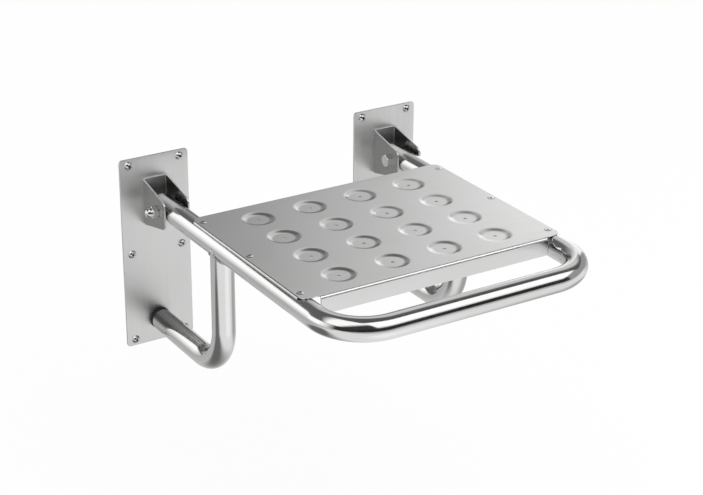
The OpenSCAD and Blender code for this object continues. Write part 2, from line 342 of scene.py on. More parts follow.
def steel(name, grey, rough, grain, grain_size=0.4 * MM, bump=0.02, streaks=0.03,
          smear=0.0):
    """Stainless steel. rough is its mean roughness, and streaks is how far that varies.
    grain stretches the marks of the work along an axis, and bump is their depth. smear
    draws reflections out across the brushing, which runs along the second direction of
    the piece's own map."""
    material, tree, shader = new_material(name)
    shader.inputs["Metallic"].default_value = 1.0
    if smear:
        shader.inputs["Anisotropic"].default_value = smear
        across = add_node(tree, "ShaderNodeTangent", direction_type="UV_MAP",
                          uv_map="brushing")
        tree.links.new(across.outputs["Tangent"], shader.inputs["Tangent"])
    marks = noise_on(tree, grain, grain_size, detail=3)
    long_streaks = noise_on(tree, [part * 3 for part in grain], grain_size * 4, detail=2)
    handling = noise_on(tree, EVEN, handling_size, detail=3)
    colour = spread(tree, handling, 0, 1)
    tree.links.new(grey_of(tree, colour, grey * 0.98, grey * 1.02),
                   shader.inputs["Base Color"])
    worked = spread(tree, long_streaks, rough - streaks, rough + streaks)
    touched = spread(tree, handling, -0.02, 0.02)
    tree.links.new(mixed(tree, worked, touched), shader.inputs["Roughness"])
    fine = add_node(tree, "ShaderNodeBump", Strength=bump, Distance=0.2 * MM)
    tree.links.new(marks, fine.inputs["Height"])
    tree.links.new(fine.outputs["Normal"], shader.inputs["Normal"])
    return material


def map_brushing(obj, across, along):
    """Gives a piece a map whose first direction lies across the brushing."""
    layer = obj.data.uv_layers.new(name="brushing")
    for loop in obj.data.loops:
        place = obj.data.vertices[loop.vertex_index].co
        layer.data[loop.index].uv = (place.dot(Vector(across)), place.dot(Vector(along)))


panel_steel = steel("satin_sheet", 0.68, 0.22, sheet_grain, bump=0.002, streaks=0.02)
# A paler and rougher copy of the sheet's steel: a painted highlight for the front bend.
bend_painted_highlight = steel("satin_bend_painted_highlight", 0.90, 0.30, sheet_grain, bump=0.002, streaks=0.02)
# A rougher, darker copy of the sheet's steel. The rough finish is its own, and the darker
# grey is painted shade for the underside and the drain holes.
dull_painted_shade = steel("dull_underside_painted_shade", 0.32, 0.45, sheet_grain, streaks=0.05)
tube_steel = steel("polished_tube", 0.69, 0.12, tube_grain, bump=0.015, streaks=0.02)
plate_steel = steel("upright_brushed_plate", 0.69, 0.38, plate_grain, 0.25 * MM,
                    bump=0.03, smear=0.6)
# The brackets' steel is brushed, and its dark grey is painted shade.
bracket_steel = steel("brushed_bracket_painted_shade", 0.32, 0.24, bracket_grain, 0.25 * MM, bump=0.01)
web_steel = steel("bracket_web", 0.60, 0.40, bracket_grain, 0.25 * MM, bump=0.01)
# A paler copy of the brackets' steel: a painted highlight for their cut edges.
edge_painted_highlight = steel("bracket_edge_painted_highlight", 0.85, 0.35, EVEN, 0.3 * MM, bump=0.01)
fastener_steel = steel("bright_fastener", 0.68, 0.14, EVEN, 0.3 * MM)
screw_steel = steel("bright_screw", 0.72, 0.12, EVEN, 0.3 * MM)
# A near black steel: painted shade for the screws' cross recesses.
recess_painted_shade = steel("shaded_recess", 0.08, 0.50, EVEN, 0.3 * MM)
weld_steel = steel("brushed_weld", 0.58, 0.34, EVEN, 0.6 * MM, bump=0.25, streaks=0.06)

# %% [markdown]
# The bumper is black rubber and the washers are black nylon. Rubber is dull, with a fine
# open texture and paler patches. Nylon is smoother.

# %% Rubber and nylon
def moulded(name, grey, rough, grain, bump):
    """Rubber or plastic. grain is the size of the flecks in its skin."""
    material, tree, shader = new_material(name)
    fleck = noise_on(tree, EVEN, grain, detail=5)
    patch = noise_on(tree, EVEN, 12 * MM, detail=2)
    tree.links.new(grey_of(tree, spread(tree, patch, 0, 1), grey * 0.8, grey * 1.3),
                   shader.inputs["Base Color"])
    tree.links.new(spread(tree, fleck, rough - 0.06, rough + 0.06),
                   shader.inputs["Roughness"])
    skin = add_node(tree, "ShaderNodeBump", Strength=bump, Distance=0.1 * MM)
    tree.links.new(fleck, skin.inputs["Height"])
    tree.links.new(skin.outputs["Normal"], shader.inputs["Normal"])
    return material


bumper_rubber = moulded("black_rubber", 0.014, 0.62, grain=0.7 * MM, bump=0.5)
washer_nylon = moulded("black_nylon", 0.02, 0.42, grain=0.4 * MM, bump=0.2)
print("materials:", [material.name for material in bpy.data.materials])

# %% [markdown]
# ## Pressed seat panel
# The panel is one sheet. A press forms 16 round dimples in it, each with a drain hole,
# and a brake folds a deep flange at the front and shallow lips at the sides. It is made
# in the same order: one square cell with its dimple, repeated, then widened into the
# sheet, folded, given its thickness, and countersunk for its six screws.

# %% Sizes of the sheet
panel_low, panel_high = corners_of("seat_panel")
top_z = panel_high.z
sheet_t = 1.5 * MM
flange_r = 4 * MM
lip_r = 2.5 * MM
flange_half = 173.5 * MM
corner_r = 10 * MM
flat_x = panel_high.x - lip_r
back_y = panel_high.y
front_y = panel_low.y + flange_r
lip_drop = 3.79 * MM
cells = 4
pitch_x = 80.4 * MM
pitch_y = 69 * MM
dimple_rim_r = 24 * MM
dimple_floor_r = 14 * MM
dimple_depth = 2.4 * MM
drain_r = 2 * MM
cell_edges = 12
middle_y = (panel_low.y + panel_high.y) / 2
first_x = -(cells - 1) / 2 * pitch_x
first_y = middle_y - (cells - 1) / 2 * pitch_y
print("sheet", round(2 * flat_x / MM, 1), "x", round((back_y - front_y) / MM, 1), "mm")

# %% One cell with its dimple
clear()
bpy.ops.mesh.primitive_grid_add(x_subdivisions=cell_edges, y_subdivisions=cell_edges,
                                size=1, location=(first_x, first_y, top_z))
panel = bpy.context.object
panel.scale = (pitch_x, pitch_y, 1)
apply_place(panel)
begin(panel, "VERT")
pick(panel, "VERT", lambda co: abs(co.x - first_x) < pitch_x / 2 - MM
     and abs(co.y - first_y) < pitch_y / 2 - MM)
bpy.ops.mesh.delete(type="VERT")
bpy.ops.mesh.select_all(action="DESELECT")
bpy.ops.mesh.primitive_circle_add(vertices=4 * cell_edges, radius=dimple_rim_r,
                                  fill_type="NOTHING", location=(first_x, first_y, top_z))
pick_all()
bpy.ops.mesh.bridge_edge_loops()
rim_edges = pick(panel, "EDGE", lambda co: near(
    math.hypot(co.x - first_x, co.y - first_y), dimple_rim_r))
print("edges round the rim:", rim_edges)

# %% Press the dimple down, ring by ring
slope_steps = 12
centre = Vector((first_x, first_y, top_z))
radius, depth = dimple_rim_r, 0.0
for step in range(1, slope_steps + 1):
    way = step / slope_steps
    next_radius = dimple_rim_r + (dimple_floor_r - dimple_rim_r) * way
    next_depth = dimple_depth * (1 - math.cos(math.pi * way)) / 2
    pull(0, 0, depth - next_depth)
    scale = next_radius / radius
    bpy.ops.transform.resize(value=(scale, scale, 1), center_override=centre)
    radius, depth = next_radius, next_depth
for next_radius in (dimple_floor_r / 2, drain_r):
    pull(0, 0, 0)
    scale = next_radius / radius
    bpy.ops.transform.resize(value=(scale, scale, 1), center_override=centre)
    radius = next_radius
leave()

# %% Repeat the cell and widen it into the sheet
for offset in ((pitch_x, 0, 0), (0, pitch_y, 0)):
    finish_with(panel, "ARRAY", count=cells, use_relative_offset=False,
                use_constant_offset=True, constant_offset_displace=offset,
                use_merge_vertices=True, merge_threshold=0.01 * MM)
cells_x = cells * pitch_x / 2
cells_back = middle_y + cells * pitch_y / 2
cells_front = middle_y - cells * pitch_y / 2
begin(panel, "EDGE")
pick(panel, "EDGE", lambda co: near(co.y, cells_back))
pull(0, back_y - cells_back, 0)
pick(panel, "EDGE", lambda co: near(co.y, cells_front))
pull(0, front_y - cells_front, 0)
for side in (-1, 1):
    pick(panel, "EDGE", lambda co: near(co.x, side * cells_x))
    pull(side * (flange_half - cells_x), 0, 0)
    pull(side * (flat_x - flange_half), 0, 0)
    pick(panel, "FACE", lambda co: side * co.x > flange_half - 0.01 * MM)
    bpy.ops.mesh.dissolve_faces()
    pick(panel, "VERT", lambda co: near(co.x, side * flat_x)
         and front_y + MM < co.y < back_y - MM)
    bpy.ops.mesh.dissolve_verts()
corners = pick(panel, "VERT", lambda co: near(abs(co.x), flat_x))
bpy.ops.mesh.bevel(offset=corner_r, segments=8, affect="VERTICES", clamp_overlap=False)
print("corners rounded:", corners)

# %% Fold the lips and the flange
for side in (-1, 1):
    pick(panel, "EDGE", lambda co: near(co.x, side * flat_x))
    bend((side * flat_x, 0, top_z - lip_r), (0, side, 0), 6)
    pull(0, 0, lip_r - lip_drop)
pick(panel, "EDGE", lambda co: near(co.y, front_y) and abs(co.x) < flange_half + 0.01 * MM)
bend((0, front_y, top_z - flange_r), (1, 0, 0), 8)
pull(0, 0, panel_low.z - (top_z - flange_r))
leave()
print("lowest edge", round(min(v.co.z for v in panel.data.vertices) / MM, 2),
      "of", round(panel_low.z / MM, 2))

# %% Thickness, countersinks and rounded edges
face_out(panel)
if sum(face.normal.z * face.area for face in panel.data.polygons) < 0:
    flip(panel)
finish_with(panel, "SOLIDIFY", thickness=sheet_t, offset=-1, use_even_offset=True)
screw_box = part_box("panel_screws_left")
screw_head_r = (screw_box[1][0] - screw_box[0][0]) / 2
screw_x = -(screw_box[1][0] + screw_box[0][0]) / 2
screw_back = screw_box[1][1] - screw_head_r
screw_front = screw_box[0][1] + screw_head_r
screw_rows = [screw_back, (screw_back + screw_front) / 2, screw_front]
screw_places = [(side * screw_x, y) for side in (-1, 1) for y in screw_rows]
clearance = 0.1 * MM
sink_above = 1 * MM
sink_below = 3 * MM
sinks = []
for x, y in screw_places:
    clear()
    bpy.ops.mesh.primitive_cone_add(
        vertices=48, radius1=screw_head_r - sink_below + clearance,
        radius2=screw_head_r + sink_above + clearance, depth=sink_above + sink_below,
        location=(x, y, top_z + (sink_above - sink_below) / 2))
    sinks.append(bpy.context.object)
carve(panel, join(sinks))
soften(panel, 0.25 * MM)
settle(panel, "pressed_seat_panel", SEAT, panel_steel, "seat_panel")

# %% Rougher underside and drain holes with painted shade, front bend with a painted highlight
sheet_margin = 10 * MM
# The underside and the walls of the drain holes get the painted shade.
under = refinish(panel, dull_painted_shade, lambda face: face.normal.z < -0.5
                 and face.center.z < top_z - sheet_t / 2)
drains = refinish(panel, dull_painted_shade, lambda face: abs(face.normal.z) < 0.5
                  and abs(face.center.x) < flange_half - sheet_margin
                  and front_y + sheet_margin < face.center.y < back_y - sheet_margin
                  and face.center.z < top_z - dimple_depth + 0.1 * MM)
# The faces of the front bend get the painted highlight.
front_bend = refinish(panel, bend_painted_highlight, lambda face: face.normal.z > 0.1
                      and face.normal.y < -0.1 and face.center.y < front_y + 0.5 * MM)
print("faces of the underside:", under, "drain holes:", drains, "bend:", front_bend)

# %% [markdown]
# ## Bent tubes
# The seat frame is one tube bent into a U, and each leg is a tube bent once through a
# right angle. A bender rolls the tube round a former, so a ring of the tube's outline is
# pulled straight, spun round the former's centre, and pulled straight again. Solidify
# then gives the wall its thickness from the outside in.

# %% Seat frame
frame_low, frame_high = corners_of("seat_frame")
tube_r = (frame_high.z - frame_low.z) / 2
tube_wall = 2 * MM
bend_r = 65 * MM
tube_z = (frame_high.z + frame_low.z) / 2
side_x = frame_high.x - tube_r
front_tube_y = frame_low.y + tube_r
tube_end_y = frame_high.y
bend_y = front_tube_y + bend_r
bend_x = side_x - bend_r
bolt_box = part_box("pivot_bolt_left")
bolt_y = (bolt_box[0][1] + bolt_box[1][1]) / 2

clear()
bpy.ops.mesh.primitive_circle_add(vertices=64, radius=tube_r, fill_type="NOTHING",
                                  location=(-side_x, tube_end_y, tube_z),
                                  rotation=(math.radians(90), 0, 0))
seat_frame = bpy.context.object
apply_place(seat_frame)
begin(seat_frame, "EDGE")
pick_all()
pull(0, bend_y - tube_end_y, 0)
bend((-bend_x, bend_y, tube_z), (0, 0, 1), 24)
pull(2 * bend_x, 0, 0)
bend((bend_x, bend_y, tube_z), (0, 0, 1), 24)
pull(0, tube_end_y - bend_y, 0)
leave()


# %% Wall, bores and ends of the tubes
def give_wall(tube, axis_point):
    """Turns the skin's faces outwards, then thickens it inwards."""
    face_out(tube)
    ring = min(tube.data.polygons, key=lambda face: (face.center - axis_point).length)
    if ring.normal.dot(ring.center - axis_point) < 0:
        flip(tube)
    finish_with(tube, "SOLIDIFY", thickness=tube_wall, offset=-1, use_even_offset=True)


def rod(x, y, z, radius, length, axis, vertices=48):
    """A solid rod along one axis, with its middle at x, y, z."""
    turn = {"x": (0, math.radians(90), 0), "y": (math.radians(90), 0, 0), "z": (0, 0, 0)}
    clear()
    bpy.ops.mesh.primitive_cylinder_add(vertices=vertices, radius=radius, depth=length,
                                        location=(x, y, z), rotation=turn[axis])
    piece = bpy.context.object
    apply_place(piece)
    return piece


give_wall(seat_frame, Vector((-side_x, (tube_end_y + bend_y) / 2, tube_z)))
bolt_r = 5 * MM
screw_shank_r = 2.5 * MM
bores = [rod(side * side_x, bolt_y, tube_z, bolt_r + 0.05 * MM, 3 * tube_r, "x")
         for side in (-1, 1)]
bores += [rod(x, y, frame_high.z, screw_shank_r + clearance, tube_r, "z", 24)
          for x, y in screw_places]
carve(seat_frame, join(bores))
soften(seat_frame, 0.3 * MM)
settle(seat_frame, "bent_seat_frame", SEAT, tube_steel, "seat_frame")

# %% [markdown]
# ## Legs
# The top of each leg is cut hollow to sit on the side tube. The ring starts inside the
# side tube, runs down, bends towards the wall, and a rod of the side tube's size then
# cuts the top. The right leg is a copy of the left one, moved across, as are most
# pieces on the right.

# %% Copies on the right
def settle_both(piece, *details):
    """Moves a copy of a left piece over to the right side, and settles both."""
    pair = (piece, copy_of(piece, 2 * side_x))
    settle_pair(pair, *details)
    return pair


# %% Legs
leg_low, leg_high = corners_of("leg_left")
leg_y = leg_low.y + tube_r
arm_z = leg_low.z + tube_r
arm_end_y = leg_high.y
clear()
bpy.ops.mesh.primitive_circle_add(vertices=64, radius=tube_r, fill_type="NOTHING",
                                  location=(-side_x, leg_y, tube_z))
left_leg = bpy.context.object
apply_place(left_leg)
begin(left_leg, "EDGE")
pick_all()
pull(0, 0, arm_z + bend_r - tube_z)
bend((-side_x, leg_y + bend_r, arm_z + bend_r), (1, 0, 0), 24)
pull(0, arm_end_y - leg_y - bend_r, 0)
leave()
give_wall(left_leg, Vector((-side_x, leg_y, (tube_z + arm_z + bend_r) / 2)))
carve(left_leg, rod(-side_x, leg_y, tube_z, tube_r, 3 * tube_r, "y", 64))
soften(left_leg, 0.2 * MM, 50)
settle_both(left_leg, "bent_leg", SEAT, "tube_steel", tube_steel, "leg")

# %% [markdown]
# ## Weld beads
# A bead of weld runs round the top of each leg. Where two equal tubes meet, the seam
# climbs in a V on both sides. A torus gives the bead its round section, each of its
# rings is lifted onto the seam, and small steps along it stand for the welder's pulses.

# %% Weld beads
bead_r = 2.3 * MM
bead_steps = 120
bead_pulses = 30
clear()
bpy.ops.mesh.primitive_torus_add(major_segments=bead_steps, minor_segments=12,
                                 major_radius=tube_r, minor_radius=bead_r,
                                 location=(-side_x, leg_y, tube_z))
left_weld = bpy.context.object
apply_place(left_weld)
begin(left_weld, "VERT")
mesh = bmesh.from_edit_mesh(left_weld.data)
for vertex in mesh.verts:
    out = Vector((vertex.co.x + side_x, vertex.co.y - leg_y, 0))
    angle = math.atan2(out.y, out.x)
    pulse = 0.12 * MM * abs(math.sin(bead_pulses / 2 * angle))
    seam = out.normalized() * tube_r
    section = out - seam + Vector((0, 0, vertex.co.z - tube_z))
    section *= 1 + pulse / bead_r
    drop = math.sqrt(max(0, tube_r ** 2 - seam.x ** 2))
    vertex.co = Vector((-side_x, leg_y, tube_z - drop)) + seam + section
bmesh.update_edit_mesh(left_weld.data)
leave()
only(left_weld)
bpy.ops.object.shade_smooth()
settle_both(left_weld, "weld_bead", SEAT, "weld_steel", weld_steel, "leg_weld")


# %% [markdown]
# ## Turned pieces
# Bumpers, washers, screw heads and the domes of the nuts are all round about an axis, as
# if turned on a lathe. A ring of vertices is pulled along the outline, station by
# station, and scaled to each station's radius. The ends are merged into poles.

# %% Turning helper
def arc(height, radius, size, start, end, steps=6):
    """Stations on a rounded edge: its centre, its size, and its angles in degrees,
    where 0 points outwards and 90 points along the axis."""
    stations = []
    for step in range(steps + 1):
        angle = math.radians(start + (end - start) * step / steps)
        stations.append((height + size * math.sin(angle), radius + size * math.cos(angle)))
    return stations


def turned(stations, segments=48):
    """Turns an outline of (height, radius) stations about the Z axis."""
    smallest = 0.004 * MM
    height, radius = stations[0][0], max(stations[0][1], smallest)
    clear()
    bpy.ops.mesh.primitive_circle_add(vertices=segments, radius=radius,
                                      fill_type="NOTHING", location=(0, 0, height))
    piece = bpy.context.object
    apply_place(piece)
    begin(piece, "EDGE")
    pick_all()
    for next_height, next_radius in stations[1:]:
        next_radius = max(next_radius, smallest)
        pull(0, 0, next_height - height)
        scale = next_radius / radius
        bpy.ops.transform.resize(value=(scale, scale, 1), center_override=(0, 0, next_height))
        height, radius = next_height, next_radius
    leave()
    face_out(piece)
    smooth(piece, 35)
    return piece


def stand(piece, x, y, z, turn):
    """Turns a piece by whole degrees about each axis and puts it in its place."""
    piece.rotation_euler = [math.radians(part) for part in turn]
    piece.location = (x, y, z)
    apply_place(piece)
    return piece


# %% [markdown]
# The bumper is a rubber plug in the open end of the leg. Its collar is as wide as the
# tube, and its front edge is rounded where it meets the wall plate.

# %% Bumpers
bumper_low, bumper_high = corners_of("bumper_left")
bumper_front = bumper_high.y
collar = bumper_front - arm_end_y
plug_end = bumper_low.y - bumper_front
plug_r = tube_r - tube_wall - 0.02 * MM
edge_r = 2 * MM
outline = [(0, 0), (0, tube_r - edge_r)]
outline += arc(-edge_r, tube_r - edge_r, edge_r, 90, 0)
outline += [(-collar + 0.4 * MM, tube_r), (-collar, tube_r - 0.3 * MM), (-collar, plug_r)]
outline += [(plug_end + MM, plug_r), (plug_end, plug_r - MM), (plug_end, 0)]
left_bumper = stand(turned(outline, 64), -side_x, bumper_front, arm_z, (-90, 0, 0))
settle_both(left_bumper, "rubber_bumper", SEAT, "bumper_rubber", bumper_rubber, "bumper")

# %% [markdown]
# ## Wall plates
# Each plate is flat bar, cut to length, with its corners rounded, its edges deburred
# and six holes drilled through it. A flat face gets its corners bevelled and is pulled
# back to the wall, and rods take out the holes.

# %% Wall plates
plate_low, plate_high = corners_of("wall_plate_left")
plate_size = plate_high - plate_low
plate_t = plate_size.y
plate_corner_r = 5 * MM
screws_low, screws_high = corners_of("wall_screws_left")
wall_head_r = 6 * MM
wall_screw_r = 3 * MM
hole_x = [screws_low.x + wall_head_r, screws_high.x - wall_head_r]
hole_z = [screws_low.z + wall_head_r, 0, screws_high.z - wall_head_r]
clear()
bpy.ops.mesh.primitive_plane_add(size=1, rotation=(math.radians(90), 0, 0),
                                 location=(-side_x, plate_low.y, 0))
left_plate = bpy.context.object
left_plate.scale = (plate_size.x, plate_size.z, 1)
apply_place(left_plate)
begin(left_plate, "VERT")
pick_all()
bpy.ops.mesh.bevel(offset=plate_corner_r, segments=8, affect="VERTICES")
pick_all()
pull(0, plate_t, 0)
leave()
face_out(left_plate)
holes = [rod(x, plate_low.y + plate_t / 2, z, wall_screw_r + 0.3 * MM, 3 * plate_t, "y", 32)
         for x in hole_x for z in hole_z]
carve(left_plate, join(holes))
soften(left_plate, 0.4 * MM)
map_brushing(left_plate, (1, 0, 0), (0, 0, 1))
settle_both(left_plate, "drilled_wall_plate", WALL, "plate_steel", plate_steel,
            "wall_plate")

# %% [markdown]
# ## Hinge brackets
# A bracket is one sheet folded into a U, with an ear on each side of the tube. The ears
# taper forwards and their front corners are round. A box without its top, bottom and
# front gives the three walls, which are then shaped, bent, thickened and bored.

# %% Hinge brackets
ear_low, ear_high = corners_of("hinge_bracket_left")
ear_size = ear_high - ear_low
ear_front_h = 39 * MM
bracket_t = 2.5 * MM
fold_r = 5 * MM
ear_corner_r = 10 * MM
taper = math.atan((ear_size.z - ear_front_h) / 2 / ear_size.y)
corner_reach = ear_corner_r / math.tan((math.radians(90) + taper) / 2)
clear()
bpy.ops.mesh.primitive_cube_add(size=1, location=(ear_low + ear_high) / 2)
left_bracket = bpy.context.object
left_bracket.scale = ear_size
apply_place(left_bracket)
begin(left_bracket, "FACE")
for axis, side in ((2, ear_high.z), (2, ear_low.z), (1, ear_low.y)):
    pick(left_bracket, "FACE", lambda co: near(co[axis], side))
    bpy.ops.mesh.delete(type="ONLY_FACE")
for z in (ear_low.z, ear_high.z):
    pick(left_bracket, "EDGE", lambda co: near(co.y, ear_low.y) and near(co.z, z))
    bpy.ops.mesh.delete(type="EDGE")
pick(left_bracket, "VERT", lambda co: near(co.y, ear_low.y))
bpy.ops.transform.resize(value=(1, 1, ear_front_h / ear_size.z),
                         center_override=(-side_x, ear_low.y, tube_z))
pick(left_bracket, "VERT", lambda co: near(co.y, ear_low.y))
bpy.ops.mesh.bevel(offset=corner_reach, segments=10, affect="VERTICES")
for x in (ear_low.x, ear_high.x):
    pick(left_bracket, "EDGE", lambda co: near(co.y, ear_high.y) and near(co.x, x))
    bpy.ops.mesh.bevel(offset=fold_r, segments=8, affect="EDGES")
leave()
face_out(left_bracket)
web = max(left_bracket.data.polygons, key=lambda face: face.center.y)
if web.normal.y < 0:
    flip(left_bracket)
finish_with(left_bracket, "SOLIDIFY", thickness=bracket_t, offset=-1,
            use_even_offset=True)
carve(left_bracket, rod(-side_x, bolt_y, tube_z, bolt_r + clearance, 4 * tube_r, "x"))
soften(left_bracket, 0.7 * MM, segments=3)
brackets = settle_both(left_bracket, "folded_bracket", WALL, "bracket_steel",
                       bracket_steel, "hinge_bracket")
# The ears keep the grey darkened by painted shade, the web gets its own finish, and the cut
# edges get a painted highlight.
for bracket in brackets:
    web_faces = refinish(bracket, web_steel, lambda face: face.normal.y < -0.95)
    edge_faces = refinish(bracket, edge_painted_highlight, lambda face: abs(face.normal.x) < 0.8
                          and abs(face.normal.y) < 0.9)
    print("faces of the web:", web_faces, "of the cut edges:", edge_faces)


# %% [markdown]
# ## Bolts, nuts and washers
# The hexagon of a bolt's head or a nut is cut from round bar: its corners are turned to
# a chamfer first. So a six sided prism is intersected with a turned blank. The nut's
# dome is turned as well, and joined to its hexagon.

# %% Hexagons
hex_flat = 17 * MM
hex_corner = hex_flat / 2 / math.cos(math.radians(30))
hex_face_r = hex_flat / 2 - 0.3 * MM
hex_blank_r = hex_corner + 0.1 * MM


def hexagon(height, foot_chamfered):
    """A hexagon that stands at Z 0. Its corners are chamfered at the top, and at the
    foot if asked for."""
    piece = rod(0, 0, height / 2, hex_corner, height, "z", 6)
    stand(piece, 0, 0, 0, (0, 0, 30))
    fall = (hex_blank_r - hex_face_r) * math.tan(math.radians(30))
    foot = [(0, hex_face_r), (fall, hex_blank_r)] if foot_chamfered else [(0, hex_blank_r)]
    outline = [(0, 0)] + foot
    outline += [(height - fall, hex_blank_r), (height, hex_face_r), (height, 0)]
    carve(piece, turned(outline, 64), "INTERSECT")
    return piece


# %% Pivot bolts
bolt_low, bolt_high = corners_of("pivot_bolt_left")
head_h = 6.5 * MM
head_under = bolt_high.x - head_h
shank_len = head_under - bolt_low.x
bolt = hexagon(head_h, foot_chamfered=False)
outline = [(0.5 * MM, 0), (0.5 * MM, bolt_r), (-shank_len + MM, bolt_r)]
outline += [(-shank_len, bolt_r - MM), (-shank_len, 0)]
carve(bolt, turned(outline), "UNION")
soften(bolt, 0.2 * MM, 25)
left_bolt = stand(bolt, head_under, bolt_y, tube_z, (0, 90, 0))
right_bolt = stand(copy_of(left_bolt), 0, 2 * bolt_y, 0, (0, 0, 180))
settle_pair((left_bolt, right_bolt), "hex_bolt", WALL, "fastener_steel", fastener_steel,
            "pivot_bolt")

# %% Cap nuts
nut_low, nut_high = corners_of("pivot_nut_left")
nut_h = nut_high.x - nut_low.x
nut_hex_h = 8 * MM
dome_r = 7.8 * MM
bore_depth = 13.2 * MM
nut = hexagon(nut_hex_h, foot_chamfered=True)
outline = [(0, 0), (0, dome_r), (nut_h - dome_r, dome_r)]
outline += arc(nut_h - dome_r, 0, dome_r, 0, 90, 14)
carve(nut, turned(outline), "UNION")
carve(nut, rod(0, 0, bore_depth / 2 - 0.5 * MM, bolt_r + 0.02 * MM, bore_depth + MM, "z"))
soften(nut, 0.15 * MM, 25)
left_nut = stand(nut, nut_high.x, bolt_y, tube_z, (0, -90, 0))
right_nut = stand(copy_of(left_nut), 0, 2 * bolt_y, 0, (0, 0, 180))
settle_pair((left_nut, right_nut), "cap_nut", WALL, "fastener_steel", fastener_steel,
            "pivot_nut")

# %% [markdown]
# A thin nylon washer on each side of the tube keeps it from rubbing on the ears.

# %% Washers
washer_low, washer_high = corners_of("pivot_washers_left")
washer_r = (washer_high.z - washer_low.z) / 2
washer_t = 0.8 * MM
washer_hole_r = bolt_r + 0.3 * MM
edge = 0.15 * MM
outline = [(0, washer_hole_r), (0, washer_r - edge), (edge, washer_r)]
outline += [(washer_t - edge, washer_r), (washer_t, washer_r - edge)]
outline += [(washer_t, washer_hole_r), (0, washer_hole_r)]
outer_washer = stand(turned(outline), washer_low.x, bolt_y, tube_z, (0, 90, 0))
inner_washer = copy_of(outer_washer, washer_high.x - washer_low.x - washer_t)
left_washers = join([outer_washer, inner_washer])
settle_both(left_washers, "nylon_washers", WALL, "washer_plastic", washer_nylon,
            "pivot_washers")


# %% [markdown]
# ## Screws
# Six countersunk screws hold the panel and twelve pan head screws hold the plates. Both
# have a cross recess, punched by a tool whose wings taper, and painted shade darkens it.
# One screw of each kind is turned and recessed, then copied to its places.

# %% Cross recess
def punch_cross(piece, top, wing, thick, deep):
    """Takes a tapered cross out of a screw's head, and darkens the cut with painted shade."""
    for turn in (0, 90):
        clear()
        bpy.ops.mesh.primitive_cube_add(size=1, location=(0, 0, top - deep / 2 + 0.5 * MM))
        tool = bpy.context.object
        tool.scale = (wing, thick, deep + MM)
        apply_place(tool)
        begin(tool, "FACE")
        pick(tool, "VERT", lambda co: co.z < top - deep / 2)
        bpy.ops.transform.resize(value=(0.4, 0.7, 1), center_override=(0, 0, top - deep))
        leave()
        stand(tool, 0, 0, 0, (0, 0, turn))
        carve(piece, tool)

    def in_recess(face):
        wall = abs(face.normal.z) < 0.6 and face.center.z > top - deep - 0.1 * MM
        bottom = face.normal.z > 0.6 and face.center.z < top - 0.8 * deep
        return face.center.xy.length < wing / 2 and (wall or bottom)

    piece.data.materials.clear()
    piece.data.materials.append(screw_steel)
    print("faces of the recess:", refinish(piece, recess_painted_shade, in_recess))


def scatter(piece, places):
    """Copies a piece, modelled at the origin, to each place, and joins the copies."""
    return join([copy_of(piece, *place) for place in places])


# %% Panel screws
screw_len = top_z - screw_box[0][2]
cone_h = screw_head_r - screw_shank_r
dome_h = 0.8 * MM
outline = [(-screw_len, 0), (-screw_len, screw_shank_r - 0.5 * MM)]
outline += [(-screw_len + 0.5 * MM, screw_shank_r), (-cone_h, screw_shank_r)]
outline += [(-0.15 * MM, screw_head_r - 0.15 * MM), (0, screw_head_r)]
outline += [(0.25 * MM, screw_head_r - 0.5 * MM), (0.55 * MM, screw_head_r * 0.68)]
outline += [(0.74 * MM, screw_head_r * 0.36), (dome_h, 0)]
panel_screw = turned(outline, 40)
punch_cross(panel_screw, dome_h, wing=5 * MM, thick=1.4 * MM, deep=1.8 * MM)
smooth(panel_screw, 30)
for side, word in ((-1, "left"), (1, "right")):
    screws = scatter(panel_screw, [(side * screw_x, y, top_z) for y in screw_rows])
    settle(screws, "countersunk_screws_" + word, SEAT, screw_steel,
           "panel_screws_" + word)
bpy.data.objects.remove(panel_screw)

# %% Wall screws
wall_head_h = 4 * MM
wall_len = screws_high.y + plate_t
head_sphere = (wall_head_r ** 2 + wall_head_h ** 2) / (2 * wall_head_h)
flank = math.degrees(math.asin((head_sphere - wall_head_h) / head_sphere))
neck_r = wall_screw_r + 0.2 * MM
outline = [(-wall_len, 0), (-wall_len, wall_screw_r - 0.8 * MM)]
thread_start = -wall_len + 0.8 * MM
thread_pitch = 1 * MM
thread_root = wall_screw_r - 0.5 * MM
turns = int((wall_len - plate_t - 0.8 * MM) / thread_pitch)
for turn in range(turns):
    low = thread_start + turn * thread_pitch
    outline += [(low, wall_screw_r), (low + 0.15 * MM, wall_screw_r)]
    outline += [(low + 0.5 * MM, thread_root), (low + 0.65 * MM, thread_root)]
outline += [(-plate_t, wall_screw_r), (-plate_t, neck_r), (0, neck_r)]
outline += [(0, wall_head_r - 0.2 * MM), (0.2 * MM, wall_head_r)]
outline += arc(wall_head_h - head_sphere, 0, head_sphere, flank, 90, 12)[1:]
wall_screw = turned(outline, 40)
punch_cross(wall_screw, wall_head_h, wing=6.4 * MM, thick=1.6 * MM, deep=2.2 * MM)
stand(wall_screw, 0, 0, 0, (90, 0, 0))
smooth(wall_screw, 30)
for side, word in ((-1, "left"), (1, "right")):
    shift = side_x + side * side_x
    places = [(x + shift, plate_low.y, z) for x in hole_x for z in hole_z]
    screws = scatter(wall_screw, places)
    settle(screws, "pan_head_screws_" + word, WALL, screw_steel,
           "wall_screws_" + word)
bpy.data.objects.remove(wall_screw)

# %% [markdown]
# ## Studio
# Steel shows what stands round it, so the studio decides how it looks. The room and the
# floor are white to the camera. Metal sees a graded floor that glows with painted light
# and shade, a graded backdrop, bright windows behind and beside the seat on the left,
# bright roofs over the front and the left, and dark boards between them. The dark boards
# give the tubes the stripes that make them read as round. Two lamps stand where the
# bright boards are. They light the rubber and cast the shadow on the floor.

# %% Surfaces with pools of light and shade
def where_on(tree):
    """The place on a piece, in its own metres."""
    return add_node(tree, "ShaderNodeTexCoord").outputs["Object"]


